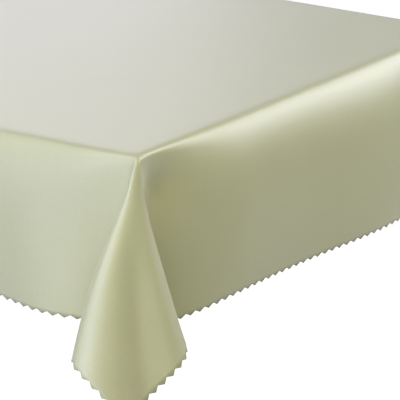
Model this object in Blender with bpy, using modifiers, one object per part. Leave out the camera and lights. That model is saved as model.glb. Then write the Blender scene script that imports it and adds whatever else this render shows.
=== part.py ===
"""Tablecloth on a table.

A light knock-down table under a loose tablecloth. The table is a rounded board on a
frame of square steel tube: four legs and four rails pushed onto three-way corner joints,
six angle brackets that hold the board, their screws, and four foot plugs. The cloth is
one sheet with the same drop on all four sides, and a cone-shaped fold at each corner.

Metres, +Z up. The origin is on the floor under the middle of the board, with the long
sides along X.
"""

import math

import bmesh
import bpy
from mathutils import Matrix, Vector

# Board
TABLE_LENGTH = 1.20
TABLE_WIDTH = 0.80
TABLE_HEIGHT = 0.75
BOARD_THICKNESS = 0.022
BOARD_CORNER = 0.008          # plan radius of the board's corners
BOARD_EDGE = 0.004            # radius of its top and bottom edges

# Frame of square tube
TUBE = 0.030
TUBE_WALL = 0.002
TUBE_CORNER = 0.003           # outside radius of the tube's four edges
LEG_INSET_END = 0.035         # from the board's end to the leg's centre
LEG_INSET_SIDE = 0.020        # from the board's long side to the leg's centre
SPIGOT_LENGTH = 0.030
FOOT_FLANGE = 0.005
FOOT_PLUG = 0.022

# Brackets and screws
BRACKET_WIDTH = 0.030
BRACKET_LEG = 0.022
BRACKET_PLATE = 0.0025
BRACKETS_ON_LONG_RAIL = 0.30  # distance from the middle of the rail
SCREW_RADIUS = 0.0020
SCREW_HEAD = 0.0040
SCREW_HEAD_HEIGHT = 0.0022
SCREW_SIDES = 12
WOOD_SCREW = 0.015
TUBE_SCREW = 0.010
PILOT_DEPTH = 0.015

# Cloth
DROP = 0.25                   # along the fabric, from the board's edge to the hem
CLOTH_THICKNESS = 0.002
CLOTH_GAP = 0.0005            # from the board to the underside of the cloth
HEM_BULGE = 0.022             # how far the hem stands out from the board's edge
FOLD_REACH = 0.066            # a corner fold's middle, out from the board's corner
FOLD_HALF_DEPTH = 0.056
FOLD_HALF_WIDTH = 0.060
FOLD_NECK = math.radians(150)  # where the fold's round outline meets the sides
FOLD_STEPS = 12
FOLD_SWING_FRONT = math.radians(12)   # turned from the diagonal towards a long side
FOLD_SWING_END = math.radians(-6)     # turned from the diagonal towards an end
SIDE_STEPS = 8

GAP = 0.0003                  # clearance between pieces that touch

CORNERS = {"front_right": (1, -1), "back_right": (1, 1), "back_left": (-1, 1), "front_left": (-1, -1)}
LEG_X = TABLE_LENGTH / 2 - LEG_INSET_END
LEG_Y = TABLE_WIDTH / 2 - LEG_INSET_SIDE
FRAME_TOP = TABLE_HEIGHT - BOARD_THICKNESS - GAP
FRAME_Z = FRAME_TOP - TUBE / 2
BORE = TUBE - 2 * TUBE_WALL
SPIGOT = BORE - 2 * GAP

COLOURS = {
    "board": ((0.72, 0.58, 0.40), 0.55, 0.0),
    "steel_tube": ((0.10, 0.10, 0.11), 0.45, 0.6),
    "joint_plastic": ((0.04, 0.04, 0.045), 0.6, 0.0),
    "foot_plastic": ((0.03, 0.03, 0.03), 0.7, 0.0),
    "zinc": ((0.62, 0.63, 0.65), 0.35, 1.0),
    "cloth": ((0.62, 0.62, 0.45), 0.45, 0.0),
}


def clear_scene():
    for obj in list(bpy.data.objects):
        bpy.data.objects.remove(obj, do_unlink=True)


def collection(name):
    group = bpy.data.collections.new(name)
    bpy.context.scene.collection.children.link(group)
    return group


def material(name):
    found = bpy.data.materials.get(name)
    if found:
        return found
    colour, roughness, metallic = COLOURS[name]
    made = bpy.data.materials.new(name)
    made.use_nodes = True
    shader = made.node_tree.nodes["Principled BSDF"]
    shader.inputs["Base Color"].default_value = (*colour, 1.0)
    shader.inputs["Roughness"].default_value = roughness
    shader.inputs["Metallic"].default_value = metallic
    return made


def add_object(name, bm, group, finish, location=(0, 0, 0)):
    mesh = bpy.data.meshes.new(name)
    bmesh.ops.recalc_face_normals(bm, faces=bm.faces)
    bm.to_mesh(mesh)
    bm.free()
    if finish:
        mesh.materials.append(material(finish))
    obj = bpy.data.objects.new(name, mesh)
    obj.location = location
    group.objects.link(obj)
    return obj


def box_mesh(size, centre=(0, 0, 0)):
    bm = bmesh.new()
    bmesh.ops.create_cube(bm, size=1.0)
    bmesh.ops.scale(bm, vec=size, verts=bm.verts)
    bmesh.ops.translate(bm, vec=centre, verts=bm.verts)
    return bm


def cutter_box(name, size, location, group):
    return as_cutter(add_object(name, box_mesh(size), group, None, location))


def cutter_hole(name, location, axis, length, group):
    """A hole for a screw's shank, wide enough that its flats clear the shank."""
    radius = (SCREW_RADIUS + GAP) / math.cos(math.pi / SCREW_SIDES)
    bm = bmesh.new()
    bmesh.ops.create_cone(bm, cap_ends=True, segments=SCREW_SIDES, radius1=radius, radius2=radius, depth=length)
    turn = Vector((0, 0, 1)).rotation_difference(Vector(axis)).to_matrix()
    bmesh.ops.rotate(bm, cent=(0, 0, 0), matrix=turn, verts=bm.verts)
    return as_cutter(add_object(name, bm, group, None, location))


def as_cutter(obj):
    obj.hide_render = True
    obj.display_type = "WIRE"
    return obj


def cut(obj, cutter):
    modifier = obj.modifiers.new("cut_" + cutter.name, "BOOLEAN")
    modifier.operation = "DIFFERENCE"
    modifier.object = cutter


def join(obj, tool):
    modifier = obj.modifiers.new("join_" + tool.name, "BOOLEAN")
    modifier.operation = "UNION"
    modifier.object = tool


def bevel_edges(bm, edges, width, segments):
    bmesh.ops.bevel(bm, geom=edges, offset=width, segments=segments, profile=0.5,
                    affect="EDGES", clamp_overlap=True, material=-1)


def edges_along(bm, axis):
    """The straight edges of a box that run along one axis."""
    return [e for e in bm.edges if abs((e.verts[0].co - e.verts[1].co).normalized()[axis]) > 0.99]


def make_board(parts, cutters):
    bm = box_mesh((TABLE_LENGTH, TABLE_WIDTH, BOARD_THICKNESS))
    bevel_edges(bm, edges_along(bm, 2), BOARD_CORNER, 3)
    rim = [e for e in bm.edges if len(e.link_faces) == 2
           and any(abs(f.normal.z) > 0.9 for f in e.link_faces)
           and any(abs(f.normal.z) < 0.1 for f in e.link_faces)]
    bevel_edges(bm, rim, BOARD_EDGE, 2)
    board = add_object("table_board", bm, parts, "board", (0, 0, TABLE_HEIGHT - BOARD_THICKNESS / 2))
    for index, (_, place, inward) in enumerate(bracket_places()):
        point = bracket_screw_point(place, inward)
        middle = TABLE_HEIGHT - BOARD_THICKNESS + PILOT_DEPTH / 2 - GAP
        cut(board, cutter_hole(f"cutter_board_{index}", (point.x, point.y, middle), (0, 0, 1),
                               PILOT_DEPTH, cutters))
    return board


def hollow_tube(name, length, axis, location, parts, cutters):
    """A square tube, open at both ends, along one axis."""
    outer = [TUBE, TUBE, TUBE]
    inner = [BORE, BORE, BORE]
    outer[axis] = length
    inner[axis] = length * 1.1
    bm = box_mesh(outer)
    bevel_edges(bm, edges_along(bm, axis), TUBE_CORNER, 3)
    tube = add_object(name, bm, parts, "steel_tube", location)
    cut(tube, cutter_box("cutter_bore_" + name, inner, location, cutters))
    return tube


def make_legs(parts, cutters):
    bottom = FOOT_FLANGE + GAP
    top = FRAME_TOP - TUBE - GAP
    for place, (sx, sy) in CORNERS.items():
        centre = (sx * LEG_X, sy * LEG_Y, (bottom + top) / 2)
        hollow_tube("leg_" + place, top - bottom, 2, centre, parts, cutters)


def make_rails(parts, cutters):
    long_length = 2 * LEG_X - TUBE - 2 * GAP
    short_length = 2 * LEG_Y - TUBE - 2 * GAP
    rails = {}
    for name, side in (("rail_front", -1), ("rail_back", 1)):
        rails[name] = hollow_tube(name, long_length, 0, (0, side * LEG_Y, FRAME_Z), parts, cutters)
    for name, side in (("rail_left", -1), ("rail_right", 1)):
        rails[name] = hollow_tube(name, short_length, 1, (side * LEG_X, 0, FRAME_Z), parts, cutters)
    for index, (rail, place, inward) in enumerate(bracket_places()):
        middle = place - inward * TUBE_WALL / 2
        middle.z = bracket_rail_screw_z()
        cut(rails[rail], cutter_hole(f"cutter_rail_{index}", middle, inward, 3 * TUBE_WALL, cutters))


def make_corner_joints(parts, cutters):
    """A cube with a spigot into the leg and one into each of the two rails."""
    for place, (sx, sy) in CORNERS.items():
        centre = Vector((sx * LEG_X, sy * LEG_Y, FRAME_Z))
        cube = box_mesh((TUBE, TUBE, TUBE))
        bevel_edges(cube, cube.edges[:], TUBE_CORNER, 2)
        joint = add_object("corner_joint_" + place, cube, parts, "joint_plastic", centre)
        reach = TUBE / 2 + SPIGOT_LENGTH
        for index, way in enumerate((Vector((-sx, 0, 0)), Vector((0, -sy, 0)), Vector((0, 0, -1)))):
            size = [reach if abs(way[k]) > 0.5 else SPIGOT for k in range(3)]
            spigot = cutter_box(f"spigot_{place}_{index}", size, centre + way * reach / 2, cutters)
            join(joint, spigot)


def make_feet(parts, cutters):
    for place, (sx, sy) in CORNERS.items():
        spot = (sx * LEG_X, sy * LEG_Y)
        bm = box_mesh((TUBE, TUBE, FOOT_FLANGE), (0, 0, FOOT_FLANGE / 2))
        bevel_edges(bm, edges_along(bm, 2), TUBE_CORNER, 3)
        under = [e for e in bm.edges if all(v.co.z < FOOT_FLANGE / 2 for v in e.verts)]
        bevel_edges(bm, under, 0.0015, 1)
        foot = add_object("foot_" + place, bm, parts, "foot_plastic", (*spot, 0))
        plug = cutter_box("plug_" + place, (SPIGOT, SPIGOT, FOOT_PLUG),
                          (*spot, FOOT_FLANGE + FOOT_PLUG / 2 - 0.001), cutters)
        join(foot, plug)


def bracket_places():
    """Each bracket's rail, the point at the middle of the rail's inner face, and the way in."""
    inner_y = LEG_Y - TUBE / 2
    inner_x = LEG_X - TUBE / 2
    places = []
    for rail, side in (("rail_front", -1), ("rail_back", 1)):
        for x in (-BRACKETS_ON_LONG_RAIL, BRACKETS_ON_LONG_RAIL):
            places.append((rail, Vector((x, side * inner_y, FRAME_Z)), Vector((0, -side, 0))))
    for rail, side in (("rail_left", -1), ("rail_right", 1)):
        places.append((rail, Vector((side * inner_x, 0, FRAME_Z)), Vector((-side, 0, 0))))
    return places


def bracket_rail_screw_z():
    return FRAME_TOP - BRACKET_LEG * 0.6


def bracket_screw_point(place, inward):
    return place + inward * (BRACKET_LEG * 0.6)


def make_brackets(parts, cutters):
    """Folded angle plates: one wing on the rail's inner face, one under the board."""
    for index, (_, place, inward) in enumerate(bracket_places()):
        along_x = abs(inward.y) > 0.5
        wing = (BRACKET_WIDTH, BRACKET_PLATE) if along_x else (BRACKET_PLATE, BRACKET_WIDTH)
        shelf = (BRACKET_WIDTH, BRACKET_LEG) if along_x else (BRACKET_LEG, BRACKET_WIDTH)
        base = place + inward * GAP
        upright = base + inward * (BRACKET_PLATE / 2)
        upright.z = FRAME_TOP - BRACKET_LEG / 2
        bracket = add_object(f"bracket_{index + 1}", box_mesh((*wing, BRACKET_LEG)), parts, "zinc", upright)
        flat = base + inward * (BRACKET_LEG / 2)
        flat.z = FRAME_TOP - BRACKET_PLATE / 2
        join(bracket, cutter_box(f"shelf_{index}", (*shelf, BRACKET_PLATE), flat, cutters))
        through_rail = base.copy()
        through_rail.z = bracket_rail_screw_z()
        cut(bracket, cutter_hole(f"cutter_wing_{index}", through_rail, inward, 6 * BRACKET_PLATE, cutters))
        through_board = bracket_screw_point(place, inward)
        through_board.z = FRAME_TOP
        cut(bracket, cutter_hole(f"cutter_shelf_{index}", through_board, (0, 0, 1), 3 * BRACKET_PLATE, cutters))


def screw_object(name, length, point, way, parts):
    """A domed screw: a turned profile, head at the origin and shank along +Z, then turned to `way`."""
    profile = [(0, length), (SCREW_RADIUS * 0.4, length), (SCREW_RADIUS, length - 0.003), (SCREW_RADIUS, 0),
               (SCREW_HEAD, 0), (SCREW_HEAD * 0.8, -SCREW_HEAD_HEIGHT * 0.75), (0, -SCREW_HEAD_HEIGHT)]
    mesh = bpy.data.meshes.new(name)
    verts = [(r, 0, z) for r, z in profile]
    edges = [(i, i + 1) for i in range(len(verts) - 1)]
    mesh.from_pydata(verts, edges, [])
    mesh.materials.append(material("zinc"))
    obj = bpy.data.objects.new(name, mesh)
    parts.objects.link(obj)
    turned = obj.modifiers.new("turned", "SCREW")
    turned.steps = SCREW_SIDES
    turned.render_steps = SCREW_SIDES
    turned.use_merge_vertices = True
    turned.merge_threshold = 0.00005
    obj.location = point
    obj.rotation_mode = "QUATERNION"
    obj.rotation_quaternion = Vector((0, 0, 1)).rotation_difference(Vector(way))
    return obj


def make_screws(parts):
    for index, (_, place, inward) in enumerate(bracket_places()):
        under = bracket_screw_point(place, inward)
        under.z = FRAME_TOP - BRACKET_PLATE - GAP
        screw_object(f"board_screw_{index + 1}", WOOD_SCREW, under, (0, 0, 1), parts)
        face = place + inward * (2 * GAP + BRACKET_PLATE)
        face.z = bracket_rail_screw_z()
        screw_object(f"rail_screw_{index + 1}", TUBE_SCREW, face, -inward, parts)


def rounded_outline(half_x, half_y, radius):
    """Board-shaped loop, from the front right corner anticlockwise, with the points shared as on the hem."""
    loop = []
    for corner, (sx, sy) in enumerate(CORNERS.values()):
        centre = Vector((sx * (half_x - radius), sy * (half_y - radius), 0))
        start = math.radians(-90 + 90 * corner)
        for step in range(FOLD_STEPS + 1):
            angle = start + math.radians(90) * step / FOLD_STEPS
            loop.append(centre + Vector((math.cos(angle), math.sin(angle), 0)) * radius)
        following = list(CORNERS.values())[(corner + 1) % 4]
        ahead = Vector((following[0] * (half_x - radius), following[1] * (half_y - radius), 0))
        out = Vector((math.cos(start + math.radians(90)), math.sin(start + math.radians(90)), 0)) * radius
        for step in range(1, SIDE_STEPS):
            loop.append(centre.lerp(ahead, step / SIDE_STEPS) + out)
    return loop


def fold_point(corner, step):
    """A hem point of one corner fold: on a round outline, as deep as the fabric reaches there."""
    sx, sy = list(CORNERS.values())[corner]
    swing = FOLD_SWING_FRONT if corner % 2 == 0 else FOLD_SWING_END
    share = step / FOLD_STEPS
    angle = -FOLD_NECK + 2 * FOLD_NECK * share
    diagonal = math.radians(-45 + 90 * corner)
    diagonal += -swing if sx * sy < 0 else swing
    ahead = Vector((math.cos(diagonal), math.sin(diagonal), 0))
    across = Vector((-ahead.y, ahead.x, 0))
    flat = ahead * (FOLD_REACH + FOLD_HALF_DEPTH * math.cos(angle)) + across * FOLD_HALF_WIDTH * math.sin(angle)
    fabric_angle = math.radians(90) * share
    reach = DROP / max(math.cos(fabric_angle), math.sin(fabric_angle))
    depth = math.sqrt(reach * reach - flat.length_squared)
    corner_point = Vector((sx * TABLE_LENGTH / 2, sy * TABLE_WIDTH / 2, TABLE_HEIGHT))
    return corner_point + flat - Vector((0, 0, depth))


def hem_outline():
    """The hem: round folds at the corners, and sides that bulge a little between them."""
    loop = []
    depth = math.sqrt(DROP * DROP - HEM_BULGE * HEM_BULGE)
    for corner in range(4):
        fold = [fold_point(corner, step) for step in range(FOLD_STEPS + 1)]
        loop.extend(fold)
        after = fold_point((corner + 1) % 4, 0)
        outward = Vector((math.cos(math.radians(90 * corner)), math.sin(math.radians(90 * corner)), 0))
        half = TABLE_LENGTH / 2 if abs(outward.x) > 0.5 else TABLE_WIDTH / 2
        for step in range(1, SIDE_STEPS):
            point = fold[-1].lerp(after, step / SIDE_STEPS)
            ease = math.sin(math.pi * step / SIDE_STEPS) ** 0.5
            middle = half + HEM_BULGE
            lateral = point - outward * point.dot(outward)
            lateral.z = 0
            blended = point.dot(outward) * (1 - ease) + middle * ease
            height = point.z * (1 - ease) + (TABLE_HEIGHT - depth) * ease
            loop.append(lateral + outward * blended + Vector((0, 0, height)))
    return loop


def cloth_rings():
    """The cloth's underside, from the flat top round the board's edge and down to the hem."""
    rings = []
    inset = BOARD_EDGE
    turn = BOARD_EDGE + CLOTH_GAP
    for quarter in (0, 45, 90):
        angle = math.radians(quarter)
        grow = -inset + turn * math.sin(angle)
        height = TABLE_HEIGHT - inset + turn * math.cos(angle)
        outline = rounded_outline(TABLE_LENGTH / 2 + grow, TABLE_WIDTH / 2 + grow, BOARD_CORNER + grow)
        rings.append([point + Vector((0, 0, height)) for point in outline])
    hem = hem_outline()
    for share in (0.45, 1.0):
        rings.append([above.lerp(below, share) for above, below in zip(rings[2], hem)])
    return rings


def make_tablecloth(parts):
    bm = bmesh.new()
    origin = Vector((0, 0, TABLE_HEIGHT))
    rings = [[bm.verts.new(point - origin) for point in ring] for ring in cloth_rings()]
    bm.faces.new(rings[0])
    for upper, lower in zip(rings, rings[1:]):
        for index in range(len(upper)):
            after = (index + 1) % len(upper)
            bm.faces.new((upper[index], lower[index], lower[after], upper[after]))
    cloth = add_object("tablecloth", bm, parts, "cloth", origin)
    skin = cloth.modifiers.new("thickness", "SOLIDIFY")
    skin.thickness = CLOTH_THICKNESS
    skin.offset = 1.0
    cloth.data.shade_smooth()
    return cloth


def main():
    clear_scene()
    parts = collection("tablecloth_on_a_table")
    cutters = collection("cutters")
    make_board(parts, cutters)
    make_legs(parts, cutters)
    make_rails(parts, cutters)
    make_corner_joints(parts, cutters)
    make_feet(parts, cutters)
    make_brackets(parts, cutters)
    make_screws(parts)
    make_tablecloth(parts)


main()
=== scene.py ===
"""Looks for a tablecloth on a table: the draped sheet, the table's finishes and a studio stage."""

import math

import bmesh
import bpy
import numpy as np
from bpy.props import FloatProperty, FloatVectorProperty, PointerProperty
from mathutils import Matrix, Vector


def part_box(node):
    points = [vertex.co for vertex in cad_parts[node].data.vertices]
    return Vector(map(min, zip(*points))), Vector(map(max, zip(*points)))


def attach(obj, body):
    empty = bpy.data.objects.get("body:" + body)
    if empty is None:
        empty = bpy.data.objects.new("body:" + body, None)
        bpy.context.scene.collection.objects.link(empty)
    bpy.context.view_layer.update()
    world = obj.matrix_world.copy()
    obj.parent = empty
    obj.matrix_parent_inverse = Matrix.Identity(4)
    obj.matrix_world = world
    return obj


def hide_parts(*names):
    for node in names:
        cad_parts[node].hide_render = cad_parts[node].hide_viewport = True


bl_info = {
    "name": "Tablecloth on a table",
    "version": (1, 0, 0),
    "blender": (4, 5, 0),
    "location": "View3D > Sidebar > Tablecloth",
    "description": "A coated tablecloth with a pinked hem, draped over a rectangular table",
    "category": "Object",
}

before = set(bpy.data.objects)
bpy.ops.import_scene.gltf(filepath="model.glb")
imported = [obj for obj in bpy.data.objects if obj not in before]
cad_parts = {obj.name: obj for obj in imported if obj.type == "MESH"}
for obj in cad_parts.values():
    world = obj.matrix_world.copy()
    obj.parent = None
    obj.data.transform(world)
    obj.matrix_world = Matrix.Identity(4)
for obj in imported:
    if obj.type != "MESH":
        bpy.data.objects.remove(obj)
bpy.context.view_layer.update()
_, board_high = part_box("table_board")
HALF_LENGTH = board_high.x
HALF_WIDTH = board_high.y
BOARD_TOP = board_high.z

# The sheet is laid out flat in fabric coordinates, u along the table and v across it.
CLOTH_LIFT = 0.0015           # from the board to the sheet's outer face
CORNER_RINGS = 30             # half teeth from the board's corner out to the hem


# ---------------------------------------------------------------- settings


class ClothSettings(bpy.types.PropertyGroup):
    drop: FloatProperty(
        name="Drop", description="Fabric from the board's edge to the hem, on average",
        default=0.25, min=0.05, max=0.6, unit="LENGTH")
    off_end: FloatProperty(
        name="Laid off the end", description="How far the sheet lies towards the left end",
        default=0.002, min=-0.05, max=0.05, unit="LENGTH")
    off_side: FloatProperty(
        name="Laid off the side", description="How far the sheet lies towards the back",
        default=0.009, min=-0.05, max=0.05, unit="LENGTH")
    tooth_depth: FloatProperty(
        name="Tooth depth", description="Depth of the pinked hem's teeth",
        default=0.0049, min=0.001, max=0.01, unit="LENGTH")
    thickness: FloatProperty(
        name="Thickness", description="Thickness of the coated fabric",
        default=0.0006, min=0.0003, max=0.003, unit="LENGTH")
    crease: FloatProperty(
        name="Bend at the corners", description="Length over which the fabric turns down",
        default=0.0035, min=0.001, max=0.05, unit="LENGTH")
    belly: FloatProperty(
        name="Belly", description="Length over which the sides ease to plumb",
        default=0.055, min=0.005, max=0.1, unit="LENGTH")
    flute: FloatProperty(
        name="Flutes", description="How far the hem swings in and out along the long sides",
        default=0.014, min=0.0, max=0.03, unit="LENGTH")
    softness: FloatProperty(
        name="Crease softness", description="Radius over which creases are rounded",
        default=0.0045, min=0.0, max=0.02, unit="LENGTH")
    colour: FloatVectorProperty(
        name="Colour", description="Colour of the fabric's face",
        default=(0.52, 0.51, 0.27, 1.0), size=4, min=0.0, max=1.0, subtype="COLOR")
    backing: FloatVectorProperty(
        name="Backing", description="Colour of the fabric's back",
        default=(0.60, 0.60, 0.44, 1.0), size=4, min=0.0, max=1.0, subtype="COLOR")


class TableSettings(bpy.types.PropertyGroup):
    wood: FloatVectorProperty(
        name="Board", description="Colour of the board's wood",
        default=(0.66, 0.50, 0.33, 1.0), size=4, min=0.0, max=1.0, subtype="COLOR")
    steel: FloatVectorProperty(
        name="Frame", description="Colour of the powder-coated tube",
        default=(0.10, 0.10, 0.11, 1.0), size=4, min=0.0, max=1.0, subtype="COLOR")
    plastic: FloatVectorProperty(
        name="Joints and feet", description="Colour of the moulded plastic",
        default=(0.04, 0.04, 0.045, 1.0), size=4, min=0.0, max=1.0, subtype="COLOR")


class StageSettings(bpy.types.PropertyGroup):
    azimuth: FloatProperty(
        name="Camera azimuth", description="Turn of the camera round the table",
        default=math.radians(34.8), subtype="ANGLE")
    elevation: FloatProperty(
        name="Camera elevation", description="How far the camera looks down",
        default=math.radians(17.7), subtype="ANGLE")
    distance: FloatProperty(
        name="Camera distance", description="From the camera to the front right corner",
        default=3.83, min=1.0, max=20.0, unit="LENGTH")
    lens: FloatProperty(
        name="Lens", description="Focal length",
        default=270.0, min=10.0, max=1000.0, unit="CAMERA")
    aside: FloatProperty(
        name="Corner aside", description="The corner's place right of the view's middle",
        default=-0.0804, unit="LENGTH")
    above: FloatProperty(
        name="Corner above", description="The corner's place above the view's middle",
        default=0.0549, unit="LENGTH")
    light: FloatProperty(
        name="Light", description="Strength of the studio lights",
        default=1.0, min=0.0, max=5.0)


# ---------------------------------------------------------------- shader helpers


def new_material(name):
    """A material with nodes, its node tree and its Principled shader."""
    made = bpy.data.materials.new(name)
    made.use_nodes = True
    tree = made.node_tree
    return made, tree, tree.nodes["Principled BSDF"]


def node(tree, kind, **values):
    """A node with its properties set by keyword, and its inputs from a dict named inputs."""
    made = tree.nodes.new(kind)
    for socket, value in values.pop("inputs", {}).items():
        made.inputs[socket].default_value = value
    for name, value in values.items():
        setattr(made, name, value)
    return made


def wire(tree, start, start_socket, end, end_socket):
    tree.links.new(start.outputs[start_socket], end.inputs[end_socket])


def group_tree(name, inputs, outputs):
    """A shader node group with float, colour or vector sockets: {name: (kind, default)}."""
    tree = bpy.data.node_groups.new(name, "ShaderNodeTree")
    for side, sockets in (("INPUT", inputs), ("OUTPUT", outputs)):
        for label, (kind, default) in sockets.items():
            socket = tree.interface.new_socket(label, in_out=side, socket_type="NodeSocket" + kind)
            if default is not None:
                socket.default_value = default
    return tree, tree.nodes.new("NodeGroupInput"), tree.nodes.new("NodeGroupOutput")


def weave_group():
    """Plain weave: crossing threads for the bump, slubs and a mottle for the colour."""
    tree, given, out = group_tree(
        "Plain weave",
        {"Vector": ("Vector", None), "Pitch": ("Float", 0.001), "Slub": ("Float", 0.06),
         "Colour": ("Color", None)},
        {"Colour": ("Color", None), "Height": ("Float", None), "Roughness": ("Float", None)})
    turns = node(tree, "ShaderNodeMath", operation="DIVIDE", inputs={0: 2 * math.pi})
    wire(tree, given, "Pitch", turns, 1)
    scaled = node(tree, "ShaderNodeVectorMath", operation="SCALE")
    wire(tree, given, "Vector", scaled, 0)
    wire(tree, turns, 0, scaled, "Scale")
    split = node(tree, "ShaderNodeSeparateXYZ")
    wire(tree, scaled, 0, split, 0)
    waves = []
    for axis in ("X", "Y"):
        wave = node(tree, "ShaderNodeMath", operation="SINE")
        wire(tree, split, axis, wave, 0)
        waves.append(wave)
    crossing = node(tree, "ShaderNodeMath", operation="MULTIPLY")
    wire(tree, waves[0], 0, crossing, 0)
    wire(tree, waves[1], 0, crossing, 1)
    wire(tree, crossing, 0, out, "Height")
    tint = slubs(tree, given)
    shade = node(tree, "ShaderNodeMath", operation="MULTIPLY_ADD", inputs={2: 1.0})
    wire(tree, tint, 0, shade, 0)
    wire(tree, given, "Slub", shade, 1)
    coloured = node(tree, "ShaderNodeVectorMath", operation="SCALE")
    wire(tree, given, "Colour", coloured, 0)
    wire(tree, shade, 0, coloured, "Scale")
    wire(tree, coloured, 0, out, "Colour")
    rough = node(tree, "ShaderNodeMath", operation="MULTIPLY_ADD", inputs={1: 0.05, 2: 0.0})
    wire(tree, tint, 0, rough, 0)
    wire(tree, rough, 0, out, "Roughness")
    return tree


def slubs(tree, given):
    """Uneven threads both ways and a broad mottle, from about -1 to 1."""
    total = None
    for stretch, scale, share in (((1.0, 0.035, 1.0), 620.0, 0.8), ((0.035, 1.0, 1.0), 620.0, 0.8),
                                  ((1.0, 1.0, 1.0), 9.0, 0.9)):
        mapping = node(tree, "ShaderNodeMapping", inputs={"Scale": stretch})
        wire(tree, given, "Vector", mapping, 0)
        noise = node(tree, "ShaderNodeTexNoise",
                     inputs={"Scale": scale, "Detail": 2.0, "Roughness": 0.5})
        wire(tree, mapping, 0, noise, "Vector")
        centred = node(tree, "ShaderNodeMath", operation="MULTIPLY_ADD",
                       inputs={1: 2 * share, 2: -share})
        wire(tree, noise, "Fac", centred, 0)
        if total is None:
            total = centred
            continue
        added = node(tree, "ShaderNodeMath", operation="ADD")
        wire(tree, total, 0, added, 0)
        wire(tree, centred, 0, added, 1)
        total = added
    return total


def grain_group():
    """Fine speckle and handling marks for coated steel and moulded plastic."""
    tree, given, out = group_tree(
        "Fine grain",
        {"Vector": ("Vector", None), "Size": ("Float", 0.0006), "Wear": ("Float", 0.5),
         "Colour": ("Color", None), "Roughness": ("Float", 0.5)},
        {"Colour": ("Color", None), "Roughness": ("Float", None), "Height": ("Float", None)})
    scale = node(tree, "ShaderNodeMath", operation="DIVIDE", inputs={0: 1.0})
    wire(tree, given, "Size", scale, 1)
    speckle = node(tree, "ShaderNodeTexNoise", inputs={"Detail": 1.0, "Roughness": 0.6})
    wire(tree, given, "Vector", speckle, "Vector")
    wire(tree, scale, 0, speckle, "Scale")
    wire(tree, speckle, "Fac", out, "Height")
    broad = node(tree, "ShaderNodeTexNoise",
                 inputs={"Scale": 14.0, "Detail": 4.0, "Roughness": 0.6})
    wire(tree, given, "Vector", broad, "Vector")
    shade = node(tree, "ShaderNodeMapRange", inputs={"To Min": 0.9, "To Max": 1.08})
    wire(tree, broad, "Fac", shade, "Value")
    coloured = node(tree, "ShaderNodeVectorMath", operation="SCALE")
    wire(tree, given, "Colour", coloured, 0)
    wire(tree, shade, 0, coloured, "Scale")
    wire(tree, coloured, 0, out, "Colour")
    marks = node(tree, "ShaderNodeMath", operation="MULTIPLY_ADD", inputs={1: 0.25, 2: -0.125})
    wire(tree, broad, "Fac", marks, 0)
    worn = node(tree, "ShaderNodeMath", operation="MULTIPLY")
    wire(tree, marks, 0, worn, 0)
    wire(tree, given, "Wear", worn, 1)
    rough = node(tree, "ShaderNodeMath", operation="ADD")
    wire(tree, given, "Roughness", rough, 0)
    wire(tree, worn, 0, rough, 1)
    wire(tree, rough, 0, out, "Roughness")
    return tree


def shared_group(name, maker):
    return bpy.data.node_groups.get(name) or maker()


def fabric_material(name, colour, slub, roughness, coat):
    """Coated satin-faced fabric on the sheet's own fabric map."""
    made, tree, shader = new_material(name)
    flat = node(tree, "ShaderNodeUVMap", uv_map="fabric")
    weave = node(tree, "ShaderNodeGroup", node_tree=shared_group("Plain weave", weave_group))
    weave.inputs["Pitch"].default_value = 0.0011
    weave.inputs["Slub"].default_value = slub
    weave.inputs["Colour"].default_value = colour
    wire(tree, flat, 0, weave, "Vector")
    wire(tree, weave, "Colour", shader, "Base Color")
    rough = node(tree, "ShaderNodeMath", operation="ADD", inputs={1: roughness})
    wire(tree, weave, "Roughness", rough, 0)
    wire(tree, rough, 0, shader, "Roughness")
    bump = node(tree, "ShaderNodeBump", inputs={"Strength": 0.25, "Distance": 0.0001})
    wire(tree, weave, "Height", bump, "Height")
    wire(tree, bump, 0, shader, "Normal")
    shader.inputs["IOR"].default_value = 1.7
    shader.inputs["Coat Weight"].default_value = coat
    shader.inputs["Coat Roughness"].default_value = 0.45
    shader.inputs["Sheen Weight"].default_value = 0.5
    shader.inputs["Sheen Roughness"].default_value = 0.45
    return made


def grained_material(name, colour, roughness, metallic, size, bump_strength, wear=0.5):
    """Powder coat, moulded plastic or plated steel, by its numbers."""
    made, tree, shader = new_material(name)
    place = node(tree, "ShaderNodeTexCoord")
    grain = node(tree, "ShaderNodeGroup", node_tree=shared_group("Fine grain", grain_group))
    grain.inputs["Size"].default_value = size
    grain.inputs["Wear"].default_value = wear
    grain.inputs["Colour"].default_value = colour
    grain.inputs["Roughness"].default_value = roughness
    wire(tree, place, "Object", grain, "Vector")
    wire(tree, grain, "Colour", shader, "Base Color")
    wire(tree, grain, "Roughness", shader, "Roughness")
    bump = node(tree, "ShaderNodeBump", inputs={"Strength": bump_strength, "Distance": 0.0002})
    wire(tree, grain, "Height", bump, "Height")
    wire(tree, bump, 0, shader, "Normal")
    shader.inputs["Metallic"].default_value = metallic
    return made


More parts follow.
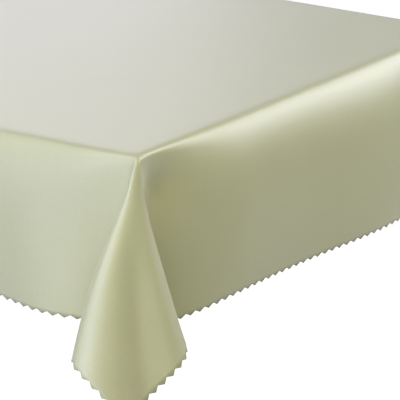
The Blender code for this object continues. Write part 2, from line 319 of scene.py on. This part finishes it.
def wood_material(colour):
    """Lacquered board with its grain along the table."""
    made, tree, shader = new_material("lacquered_wood")
    place = node(tree, "ShaderNodeTexCoord")
    mapping = node(tree, "ShaderNodeMapping", inputs={"Scale": (0.6, 9.0, 9.0)})
    wire(tree, place, "Object", mapping, 0)
    wander = node(tree, "ShaderNodeTexNoise", inputs={"Scale": 1.4, "Detail": 3.0})
    wire(tree, mapping, 0, wander, "Vector")
    bent = node(tree, "ShaderNodeVectorMath", operation="MULTIPLY_ADD", inputs={1: (1.2, 1.2, 1.2)})
    wire(tree, wander, "Color", bent, 0)
    wire(tree, mapping, 0, bent, 2)
    rings = node(tree, "ShaderNodeTexWave", wave_type="BANDS", bands_direction="Y",
                 inputs={"Scale": 1.6, "Distortion": 3.5, "Detail": 3.0, "Detail Scale": 1.5})
    wire(tree, bent, 0, rings, "Vector")
    fibres = node(tree, "ShaderNodeMapping", inputs={"Scale": (8.0, 500.0, 500.0)})
    wire(tree, place, "Object", fibres, 0)
    pores = node(tree, "ShaderNodeTexNoise", inputs={"Scale": 1.0, "Detail": 3.0})
    wire(tree, fibres, 0, pores, "Vector")
    mixed = node(tree, "ShaderNodeMath", operation="MULTIPLY_ADD", inputs={1: 0.35})
    wire(tree, pores, "Fac", mixed, 0)
    wire(tree, rings, "Fac", mixed, 2)
    ramp = node(tree, "ShaderNodeValToRGB")
    ramp.color_ramp.elements[0].color = [part * 0.72 for part in colour[:3]] + [1.0]
    ramp.color_ramp.elements[1].color = [min(1.0, part * 1.2) for part in colour[:3]] + [1.0]
    ramp.color_ramp.elements[1].position = 1.25 / 1.35
    wire(tree, mixed, 0, ramp, "Fac")
    wire(tree, ramp, "Color", shader, "Base Color")
    rough = node(tree, "ShaderNodeMapRange", inputs={"To Min": 0.42, "To Max": 0.30})
    wire(tree, pores, "Fac", rough, "Value")
    wire(tree, rough, 0, shader, "Roughness")
    bump = node(tree, "ShaderNodeBump", inputs={"Strength": 0.2, "Distance": 0.0002})
    wire(tree, pores, "Fac", bump, "Height")
    wire(tree, bump, 0, shader, "Normal")
    shader.inputs["Coat Weight"].default_value = 0.3
    shader.inputs["Coat Roughness"].default_value = 0.15
    return made


# ---------------------------------------------------------------- how the sheet hangs

# Each corner's fold seen from above, for rays of fabric one unit long: how far they reach out past
# the short edge and past the long edge, from the short edge's drop round to the long edge's.
FOLD_OUTLINES = {
    (1, -1): ((0.05, -0.10), (0.12, -0.13), (0.19, -0.11), (0.25, -0.05), (0.274, 0.013),
              (0.258, 0.076), (0.212, 0.139), (0.172, 0.194), (0.156, 0.258), (0.126, 0.324),
              (0.07, 0.380), (0.006, 0.408), (-0.05, 0.395), (-0.09, 0.315), (-0.095, 0.19),
              (0.005, 0.145), (0.01, 0.06)),
    (1, 1): ((0.05, -0.04), (0.13, -0.06), (0.23, -0.12), (0.33, -0.08), (0.355, 0.03),
             (0.27, 0.12), (0.18, 0.20), (0.185, 0.31), (0.10, 0.36), (0.0, 0.33),
             (-0.05, 0.23), (-0.04, 0.10), (-0.09, 0.02)),
    (-1, 1): ((0.03, -0.04), (0.10, -0.04), (0.20, -0.10), (0.30, -0.07), (0.33, 0.03),
              (0.25, 0.11), (0.16, 0.17), (0.15, 0.27), (0.10, 0.35), (0.01, 0.365),
              (-0.07, 0.31), (-0.08, 0.19), (-0.05, 0.09), (-0.10, 0.02)),
    (-1, -1): ((0.05, -0.05), (0.12, -0.05), (0.22, -0.11), (0.33, -0.09), (0.37, 0.01),
               (0.31, 0.11), (0.19, 0.16), (0.16, 0.26), (0.14, 0.35), (0.05, 0.38),
               (-0.03, 0.33), (-0.06, 0.20), (-0.04, 0.08), (-0.08, 0.02)),
}
# How much of each drop beside a fold is drawn into it, in degrees at the board's corner.
FOLD_NECKS = {(1, -1): (0.5, 1.5), (1, 1): (1, 3), (-1, 1): (1, 4), (-1, -1): (2, 2)}
# How far the middle of each fold sways from its straight line, past the short and the long edge.
FOLD_SWAYS = {(1, -1): (-0.008, 0.006), (1, 1): (0.004, -0.003), (-1, 1): (0.002, 0.004),
              (-1, -1): (0.0, -0.004)}
FOLD_LENGTH = 0.32            # along which a fold sways out and back

# The drop at each end: most of its bend is a long belly, and it is drawn in beside the folds.
END_BELLY = 0.50              # share of the bend that eases over the belly
END_LEAN = 0.14               # how far past plumb its hem leans in, in radians
END_TUCK = 0.010              # how far its hem is drawn in beside a fold
END_HOLLOW = 0.014            # depth of the dimple below the board's corner
END_SWELL = 0.016             # how far its hem swells out near the middle
FAR_SIDE = 0.35               # share of the tuck and the dimple at its other corner

# The drop along each side: a soft edge, and flutes that open towards the hem.
SIDE_BELLY = 0.25
SIDE_LEAN = 0.08
SIDE_TUCK = 0.004
FLUTE_WIDTH = 0.19            # from crest to crest near the middle, and wider by
FLUTE_SPREAD = 0.10           # this for each metre along
FLUTE_START = 0.128           # from the corner to the first crest


def smooth_path(points, count):
    """A Catmull-Rom curve through the points, as an array of positions."""
    ends = np.array([2 * points[0] - points[1], *points, 2 * points[-1] - points[-2]])
    share = np.linspace(0, 1, count, endpoint=False)[:, None]
    spans = []
    for before, start, end, after in zip(ends, ends[1:], ends[2:], ends[3:]):
        spans.append(0.5 * (2 * start + (end - before) * share
                            + (2 * before - 5 * start + 4 * end - after) * share ** 2
                            + (3 * start - before - 3 * end + after) * share ** 3))
    return np.vstack(spans + [points[-1][None]])


def fold_rays(outline, necks):
    """Angles on the flat sheet round the board's corner, and the unit directions that they hang in.

    The outline is grown or shrunk until the fabric in it is just a quarter turn and the two necks,
    so that the fold is a true cone that the flat sheet can take.
    """
    start, end = (math.radians(neck) for neck in necks)
    small, large = 0.3, 2.0
    for _ in range(40):
        grown = (small + large) / 2
        inner = np.array(outline) * grown
        flat = smooth_path(np.vstack([[0, -math.sin(start)], inner, [-math.sin(end), 0]]), 60)
        down = -np.sqrt(np.maximum(1 - (flat ** 2).sum(1), 0.05))
        rays = np.column_stack([flat, down])
        rays /= np.linalg.norm(rays, axis=1, keepdims=True)
        travelled = np.concatenate([[0], np.cumsum(np.linalg.norm(np.diff(rays, axis=0), axis=1))])
        if travelled[-1] < math.pi / 2 + start + end:
            small = grown
        else:
            large = grown
    return travelled - start, rays


def eased(value):
    """0 to 1 with soft ends."""
    value = np.clip(value, 0, 1)
    return value * value * (3 - 2 * value)


class Drape:
    """Where each point of the flat sheet goes when the sheet hangs on the board."""

    steps = 24

    def __init__(self, settings):
        self.drop = settings.drop
        self.crease = settings.crease
        self.belly = settings.belly
        self.flute = settings.flute
        self.top = BOARD_TOP + CLOTH_LIFT
        self.folds = {corner: fold_rays(outline, FOLD_NECKS[corner])
                      for corner, outline in FOLD_OUTLINES.items()}

    def turned_down(self, past, crease, belly_share, lean):
        """How far fabric goes out and down past an edge, as it eases from level to plumb."""
        out = np.zeros(len(past))
        down = np.zeros(len(past))
        for step in range(self.steps):
            reach = past * ((step + 0.5) / self.steps) ** 2
            slope = math.pi / 2 * ((1 - belly_share) * np.exp(-reach / crease)
                                   + belly_share * np.exp(-reach / self.belly))
            slope = slope - lean * reach / self.drop
            width = past * (2 * step + 1) / self.steps ** 2
            out += np.sin(slope) * width
            down += np.cos(slope) * width
        return out, down

    def end_drop(self, along, past, sign):
        """The short side: a crisp edge over a full belly, tucked in beside the folds."""
        from_corner = HALF_WIDTH - np.abs(along)
        full = eased(from_corner / 0.22)
        out, down = self.turned_down(past, self.crease * (1 + 0.3 * full), END_BELLY * full,
                                     END_LEAN * full)
        depth = np.clip(past / self.drop, 0, 1.2)
        near = np.where(along * sign < 0, 1.0, FAR_SIDE)
        clear = eased(from_corner / 0.02)
        out -= END_TUCK * near * eased(1 - from_corner / 0.13) * clear * depth
        out -= (END_HOLLOW * near * np.exp(-((from_corner - 0.035) / 0.036) ** 2)
                * np.exp(-((past - 0.062) / 0.034) ** 2)) * clear
        swell = np.exp(-((along * sign - 0.14) / 0.15) ** 2)
        out += END_SWELL * depth * swell * eased(from_corner / 0.1)
        return out, down

    def side_drop(self, along, past, sign):
        """The long side: a softer edge, with flutes that open towards the hem."""
        from_corner = HALF_LENGTH - np.abs(along)
        full = eased(from_corner / 0.3)
        soft = 1 + 2.6 * eased(from_corner / 0.09) + 1.6 * full
        out, down = self.turned_down(past, self.crease * soft, SIDE_BELLY * full, SIDE_LEAN * full)
        depth = np.clip(past / self.drop, 0, 1.2) ** 1.25
        width = FLUTE_WIDTH + FLUTE_SPREAD * np.abs(along * sign - 0.02)
        wave = np.cos(2 * math.pi * (from_corner - FLUTE_START) / width)
        calm = 1 - 0.55 * eased(from_corner / 0.45)
        out += self.flute * depth * calm * wave * eased(from_corner / 0.06)
        return out - SIDE_TUCK * depth * eased(1 - from_corner / 0.3), down

    def place(self, u, v):
        """Arrays of fabric coordinates to an array of positions in the room."""
        sign_u = np.where(u >= 0, 1.0, -1.0)
        sign_v = np.where(v >= 0, 1.0, -1.0)
        past_u = np.abs(u) - HALF_LENGTH
        past_v = np.abs(v) - HALF_WIDTH
        spot = np.stack([u, v, np.full(len(u), self.top)], -1)
        end = (past_u > 0) & (past_v <= 0)
        out, down = self.end_drop(v[end], past_u[end], sign_u[end])
        spot[end, 0] = sign_u[end] * (HALF_LENGTH + out)
        spot[end, 2] -= down
        long = (past_v > 0) & (past_u <= 0)
        out, down = self.side_drop(u[long], past_v[long], sign_v[long])
        spot[long, 1] = sign_v[long] * (HALF_WIDTH + out)
        spot[long, 2] -= down
        for corner in FOLD_OUTLINES:
            own = (sign_u == corner[0]) & (sign_v == corner[1])
            inside = own & (past_u > 0) & (past_v > 0)
            spot[inside] = self.corner(past_u[inside], past_v[inside], corner)
            for beside in (own & end, own & long):
                spot[beside] += self.neck(past_u[beside], past_v[beside], corner)
        return spot

    def hang(self, turn, corner):
        """The directions that rays at these angles on the flat sheet hang in."""
        angles, rays = self.folds[corner]
        return np.stack([np.interp(turn, angles, rays[:, axis]) for axis in range(3)], -1)

    def neck(self, past_u, past_v, corner):
        """How far fabric beside a fold is drawn from its drop into the fold."""
        turn = np.arctan2(past_v, past_u)
        angles, _ = self.folds[corner]
        held = np.clip(turn, angles[0], angles[-1])
        flat = np.zeros(len(turn))
        plumb = np.where((held < math.pi / 4)[:, None],
                         np.stack([flat, np.sin(held), -np.cos(held)], -1),
                         np.stack([np.cos(held), flat, -np.sin(held)], -1))
        _, down = self.turned_down(np.hypot(past_u, past_v), self.crease, 0.0, 0.0)
        pull = (self.hang(held, corner) - plumb) * down[:, None]
        pull[(turn < angles[0]) | (turn > angles[-1])] = 0
        return pull * np.array([corner[0], corner[1], 1.0])

    def corner(self, past_u, past_v, corner):
        """Fabric past the board's corner: a ray turns from level to its place in the fold."""
        turn = np.arctan2(past_v, past_u)
        reach = np.hypot(past_u, past_v)
        ray = self.hang(turn, corner)
        level = np.stack([np.cos(turn), np.sin(turn), np.zeros(len(turn))], -1)
        spot = np.zeros((len(turn), 3))
        for step in range(self.steps):
            share = ((step + 0.5) / self.steps) ** 2
            width = (2 * step + 1) / self.steps ** 2
            slope = np.exp(-reach * share / self.crease)[:, None] * math.pi / 2
            spot += (level * np.sin(slope) + ray * np.cos(slope)) * (reach * width)[:, None]
        sway = np.sin(math.pi * np.clip(reach / FOLD_LENGTH, 0, 1))
        sway = sway * np.clip(2.2 * np.sin(2 * turn) ** 2, 0, 1)
        spot[:, :2] += np.array(FOLD_SWAYS[corner]) * sway[:, None]
        home = np.array([corner[0] * HALF_LENGTH, corner[1] * HALF_WIDTH, self.top])
        return home + spot * np.array([corner[0], corner[1], 1.0])

    def rounded(self, u, v, softness):
        """The drape averaged over a small disc of fabric, which rounds every crease.

        The disc is larger at the top of a fold, where the fabric can't turn so sharply.
        """
        past_u = np.abs(u) - HALF_LENGTH
        past_v = np.abs(v) - HALF_WIDTH
        reach = np.hypot(past_u, past_v)
        near_fold = (past_u > -0.5 * reach) & (past_v > -0.5 * reach)
        fold_top = eased((reach - 0.01) / 0.05) * (1 - eased((reach - 0.08) / 0.14))
        width = softness * (1 + 2.0 * near_fold * fold_top)
        total = self.place(u, v)
        weight = 1.0
        for ring, share in ((0.7, 0.78), (1.4, 0.37), (2.1, 0.11)):
            for spoke in range(12):
                angle = math.pi * (spoke + 0.5 * ring) / 6
                near = self.place(u + width * ring * math.cos(angle),
                                  v + width * ring * math.sin(angle))
                total = total + share * ring * near
                weight += share * ring
        return total / weight


# ---------------------------------------------------------------- the sheet


class FlatSheet:
    """The sheet laid flat: a grid over the board and its drops, with each corner spun as a fan.

    Lines are half a tooth apart, and meet the board's edges. A corner's rays all start at the
    board's corner, because its fold is a cone from there.
    """

    def __init__(self, settings):
        self.cell = settings.drop / CORNER_RINGS
        self.even = CORNER_RINGS * self.cell
        self.drops = {("x", 1): settings.drop - settings.off_end,
                      ("x", -1): settings.drop + settings.off_end,
                      ("y", 1): settings.drop + settings.off_side,
                      ("y", -1): settings.drop - settings.off_side}
        self.tooth_depth = settings.tooth_depth

    def make(self):
        sheet = bmesh.new()
        half = Vector((HALF_LENGTH + self.even, HALF_WIDTH + self.even, 1.0))
        bmesh.ops.create_grid(sheet, x_segments=round(2 * half.x / self.cell),
                              y_segments=round(2 * half.y / self.cell), size=1.0)
        bmesh.ops.scale(sheet, vec=half, verts=sheet.verts)
        corners = [f for f in sheet.faces if abs(f.calc_center_median().x) > HALF_LENGTH
                   and abs(f.calc_center_median().y) > HALF_WIDTH]
        bmesh.ops.delete(sheet, geom=corners, context="FACES")
        for corner in FOLD_OUTLINES:
            self.add_fan(sheet, corner)
        bmesh.ops.remove_doubles(sheet, verts=sheet.verts, dist=self.cell * 0.005)
        self.pink(sheet)
        self.shift(sheet)
        self.add_edge_lines(sheet)
        bmesh.ops.recalc_face_normals(sheet, faces=sheet.faces)
        if sum(f.normal.z for f in sheet.faces) < 0:
            bmesh.ops.reverse_faces(sheet, faces=sheet.faces)
        return sheet

    def add_fan(self, sheet, corner):
        """Spins a line of half teeth round the board's corner, and squares the fan off."""
        centre = Vector((corner[0] * HALF_LENGTH, corner[1] * HALF_WIDTH, 0.0))
        line = [sheet.verts.new(centre + Vector((corner[0] * self.cell * ring, 0, 0)))
                for ring in range(CORNER_RINGS + 1)]
        edges = [sheet.edges.new(pair) for pair in zip(line, line[1:])]
        others = set(sheet.verts) - set(line)
        bmesh.ops.spin(sheet, geom=line + edges, cent=centre, axis=(0, 0, 1), dvec=(0, 0, 0),
                       angle=math.radians(90) * corner[0] * corner[1], steps=2 * CORNER_RINGS,
                       use_duplicate=False)
        for vert in set(sheet.verts) - others:
            offset = vert.co - centre
            reach = math.hypot(offset.x, offset.y)
            share = math.atan2(abs(offset.y), abs(offset.x)) / math.radians(45)
            vert.co = centre + Vector((corner[0] * reach * min(1.0, 2.0 - share),
                                       corner[1] * reach * min(1.0, share), 0))

    def pink(self, sheet):
        """Pulls every other hem point in: a zig-zag edge with a tooth at each corner."""
        reach = (HALF_LENGTH + self.even, HALF_WIDTH + self.even)
        for vert in sheet.verts:
            for axis in (0, 1):
                if abs(abs(vert.co[axis]) - reach[axis]) > self.cell * 0.05:
                    continue
                steps = round((reach[1 - axis] - abs(vert.co[1 - axis])) / self.cell)
                if steps % 2 == 1:
                    vert.co[axis] -= math.copysign(self.tooth_depth, vert.co[axis])
                    break

    def shift(self, sheet):
        """Stretches each side's lines to its own drop, as the sheet isn't laid quite square."""
        for vert in sheet.verts:
            for axis, half, name in ((0, HALF_LENGTH, "x"), (1, HALF_WIDTH, "y")):
                past = abs(vert.co[axis]) - half
                if past > 0:
                    side = 1 if vert.co[axis] > 0 else -1
                    vert.co[axis] = side * (half + past * self.drops[name, side] / self.even)

    def add_edge_lines(self, sheet):
        """More lines beside the board's edges, where the fabric turns down."""
        for axis, half in ((0, HALF_LENGTH), (1, HALF_WIDTH)):
            for side in (-1, 1):
                normal = Vector((1.0 - axis, float(axis), 0.0))
                everything = sheet.verts[:] + sheet.edges[:] + sheet.faces[:]
                bmesh.ops.bisect_plane(sheet, geom=everything, dist=1e-6, plane_no=normal,
                                       plane_co=normal * side * (half + self.cell / 2))


class TABLECLOTH_OT_sheet(bpy.types.Operator):
    """Drape the pinked tablecloth over the board"""

    bl_idname = "tablecloth.sheet"
    bl_label = "Drape the tablecloth"

    def execute(self, context):
        settings = context.scene.tablecloth_cloth
        sheet = FlatSheet(settings).make()
        flat_map = sheet.loops.layers.uv.new("fabric")
        for face in sheet.faces:
            for loop in face.loops:
                loop[flat_map].uv = loop.vert.co.xy
        flat = np.array([vert.co[:2] for vert in sheet.verts])
        drape = Drape(settings)
        spots = drape.rounded(flat[:, 0], flat[:, 1], settings.softness)
        for vert, spot in zip(sheet.verts, spots):
            vert.co = spot
        mesh = bpy.data.meshes.new("draped_tablecloth")
        sheet.to_mesh(mesh)
        sheet.free()
        mesh.shade_smooth()
        mesh.materials.append(fabric_material("coated_cloth", settings.colour, 0.05, 0.46, 1.0))
        mesh.materials.append(fabric_material("cloth_backing", settings.backing, 0.10, 0.85, 0.0))
        cloth = bpy.data.objects.new("draped_tablecloth", mesh)
        context.scene.collection.objects.link(cloth)
        body = cloth.modifiers.new("thickness", "SOLIDIFY")
        body.thickness = settings.thickness
        body.offset = -1.0
        body.use_even_offset = False
        body.material_offset = 1
        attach(cloth, "tablecloth")
        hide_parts("tablecloth")
        return {"FINISHED"}


# ---------------------------------------------------------------- the table


def finish_nodes(starts, material):
    """Gives every CAD piece whose name starts with one of these its material."""
    found = [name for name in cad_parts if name.startswith(starts)]
    if not found:
        raise RuntimeError(f"no piece of the frame is named like {starts}")
    for name in found:
        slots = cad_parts[name].material_slots
        if not slots:
            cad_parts[name].data.materials.append(material)
        for slot in slots:
            slot.material = material


class TABLECLOTH_OT_board(bpy.types.Operator):
    """Finish the board in lacquered wood"""

    bl_idname = "tablecloth.board"
    bl_label = "Finish the board"

    def execute(self, context):
        finish_nodes(("table_board",), wood_material(context.scene.tablecloth_table.wood))
        return {"FINISHED"}


class TABLECLOTH_OT_frame(bpy.types.Operator):
    """Finish the tubes, joints, feet, brackets and screws"""

    bl_idname = "tablecloth.frame"
    bl_label = "Finish the frame"

    def execute(self, context):
        settings = context.scene.tablecloth_table
        coat = grained_material("powder_coat", settings.steel, 0.42, 0.0, 0.0009, 0.25)
        moulded = grained_material("moulded_plastic", settings.plastic, 0.55, 0.0, 0.0005, 0.35)
        plated = grained_material("zinc_plate", (0.62, 0.63, 0.65, 1.0), 0.34, 1.0, 0.0012, 0.12,
                                  wear=0.9)
        finish_nodes(("leg_", "rail_front", "rail_back", "rail_left", "rail_right"), coat)
        finish_nodes(("corner_joint_", "foot_"), moulded)
        finish_nodes(("bracket_", "board_screw_", "rail_screw_"), plated)
        return {"FINISHED"}


# ---------------------------------------------------------------- stage

# Softboxes round the table: degrees round from its right end, degrees up, width, height, watts
# and colour.
SOFTBOXES = {
    "front_high": (-100, 42, 2.0, 1.8, 45, (0.57, 0.65, 1.0)),
    "front_top": (-104, 68, 1.8, 1.4, 14, (0.72, 0.74, 1.0)),
    "front_low": (-106, 1, 3.0, 1.2, 30, (0.55, 0.63, 1.0)),
    "corner_high": (-46, 45, 2.0, 1.6, 42, (1.0, 0.96, 0.56)),
    "corner_low": (-74, 12, 2.0, 1.4, 40, (0.72, 0.76, 1.0)),
    "back_right": (54, 25, 2.0, 1.6, 45, (0.94, 0.97, 1.0)),
    "back": (72, 20, 2.0, 1.6, 23, (0.85, 0.86, 1.0)),
    "back_left": (142, 15, 2.6, 1.6, 24, (0.88, 0.84, 1.0)),
    "left_high": (-172, 48, 1.8, 1.4, 12, (0.88, 0.93, 1.0)),
}
LIT_POINT = Vector((0.25, -0.10, 0.65))
LIGHT_DISTANCE = 3.3
WORLD_LIGHT = 0.04            # how much the white surroundings light the table
WORLD_SEEN = 0.92             # and how bright they look
FLOOR_GLOW = 0.86             # what makes the floor look as white as they do


def softbox(name, turn, rise, width, height, watts, colour):
    light = bpy.data.lights.new(name, "AREA")
    light.shape = "RECTANGLE"
    light.size = width
    light.size_y = height
    light.energy = watts
    light.color = colour
    turn, rise = math.radians(turn), math.radians(rise)
    away = Vector((math.cos(turn) * math.cos(rise), math.sin(turn) * math.cos(rise),
                   math.sin(rise)))
    lamp = bpy.data.objects.new(name, light)
    lamp.location = LIT_POINT + away * LIGHT_DISTANCE
    lamp.rotation_euler = (-away).to_track_quat("-Z", "Y").to_euler()
    bpy.context.scene.collection.objects.link(lamp)


def stage_camera(settings):
    """A long lens that looks at the front right corner of the board."""
    turn, tilt = settings.azimuth, settings.elevation
    forward = Vector((-math.sin(turn) * math.cos(tilt), math.cos(turn) * math.cos(tilt),
                      -math.sin(tilt)))
    right = Vector((math.cos(turn), math.sin(turn), 0))
    up = right.cross(forward)
    corner = Vector((HALF_LENGTH, -HALF_WIDTH, BOARD_TOP))
    place = corner - forward * settings.distance - right * settings.aside - up * settings.above
    data = bpy.data.cameras.new("camera")
    data.lens = settings.lens
    data.sensor_width = 36.0
    data.clip_end = 100.0
    camera = bpy.data.objects.new("camera", data)
    facing = Matrix((right, up, -forward)).transposed().to_4x4()
    camera.matrix_world = Matrix.Translation(place) @ facing
    bpy.context.scene.collection.objects.link(camera)
    bpy.context.scene.camera = camera


def stage_floor():
    """A wide pale floor that shows nearly white, with faint shadows."""
    sheet = bmesh.new()
    bmesh.ops.create_grid(sheet, x_segments=1, y_segments=1, size=30.0)
    mesh = bpy.data.meshes.new("floor")
    sheet.to_mesh(mesh)
    sheet.free()
    floor = bpy.data.objects.new("floor", mesh)
    bpy.context.scene.collection.objects.link(floor)
    made, tree, shader = new_material("pale_floor")
    shader.inputs["Base Color"].default_value = (0.48, 0.48, 0.45, 1.0)
    shader.inputs["Roughness"].default_value = 0.9
    glow = node(tree, "ShaderNodeEmission",
                inputs={"Color": (1.0, 1.0, 1.0, 1.0), "Strength": FLOOR_GLOW})
    seen = node(tree, "ShaderNodeLightPath")
    both = node(tree, "ShaderNodeAddShader")
    wire(tree, shader, 0, both, 0)
    wire(tree, glow, 0, both, 1)
    pick = node(tree, "ShaderNodeMixShader")
    wire(tree, seen, "Is Camera Ray", pick, 0)
    wire(tree, shader, 0, pick, 1)
    wire(tree, both, 0, pick, 2)
    wire(tree, pick, 0, tree.nodes["Material Output"], "Surface")
    mesh.materials.append(made)


class TABLECLOTH_OT_stage(bpy.types.Operator):
    """Set up the camera, the soft lights and the pale floor"""

    bl_idname = "tablecloth.stage"
    bl_label = "Set the stage"

    def execute(self, context):
        settings = context.scene.tablecloth_stage
        stage_camera(settings)
        stage_floor()
        for name, (turn, rise, width, height, watts, colour) in SOFTBOXES.items():
            softbox(name, turn, rise, width, height, watts * settings.light, colour)
        world = bpy.data.worlds.new("studio")
        world.use_nodes = True
        tree = world.node_tree
        background = tree.nodes["Background"]
        background.inputs["Color"].default_value = (1.0, 1.0, 1.0, 1.0)
        seen = node(tree, "ShaderNodeLightPath")
        strength = node(tree, "ShaderNodeMapRange",
                        inputs={"To Min": WORLD_LIGHT, "To Max": WORLD_SEEN})
        wire(tree, seen, "Is Camera Ray", strength, "Value")
        wire(tree, strength, 0, background, "Strength")
        context.scene.world = world
        context.scene.view_settings.view_transform = "Standard"
        return {"FINISHED"}


# ---------------------------------------------------------------- add-on


class TABLECLOTH_PT_panel(bpy.types.Panel):
    """Lists the pieces' operators and their settings"""

    bl_label = "Tablecloth"
    bl_idname = "TABLECLOTH_PT_panel"
    bl_space_type = "VIEW_3D"
    bl_region_type = "UI"
    bl_category = "Tablecloth"

    def draw(self, context):
        layout = self.layout
        for group, operators in (("tablecloth_cloth", (TABLECLOTH_OT_sheet,)),
                                 ("tablecloth_table", (TABLECLOTH_OT_board, TABLECLOTH_OT_frame)),
                                 ("tablecloth_stage", (TABLECLOTH_OT_stage,))):
            settings = getattr(context.scene, group)
            for name in settings.__annotations__:
                layout.prop(settings, name)
            for operator in operators:
                layout.operator(operator.bl_idname)


SETTINGS = {"tablecloth_cloth": ClothSettings, "tablecloth_table": TableSettings,
            "tablecloth_stage": StageSettings}
CLASSES = (*SETTINGS.values(), TABLECLOTH_OT_sheet, TABLECLOTH_OT_board, TABLECLOTH_OT_frame,
           TABLECLOTH_OT_stage, TABLECLOTH_PT_panel)


def register():
    for entry in CLASSES:
        bpy.utils.register_class(entry)
    for name, group in SETTINGS.items():
        setattr(bpy.types.Scene, name, PointerProperty(type=group))


def unregister():
    for name in SETTINGS:
        delattr(bpy.types.Scene, name)
    for entry in reversed(CLASSES):
        bpy.utils.unregister_class(entry)


def main():
    for name in ("Cube", "Light", "Camera"):
        leftover = bpy.data.objects.get(name)
        if leftover:
            bpy.data.objects.remove(leftover, do_unlink=True)
    register()
    bpy.ops.tablecloth.stage()
    bpy.ops.tablecloth.board()
    bpy.ops.tablecloth.frame()
    bpy.ops.tablecloth.sheet()


if __name__ == "__main__":
    main()
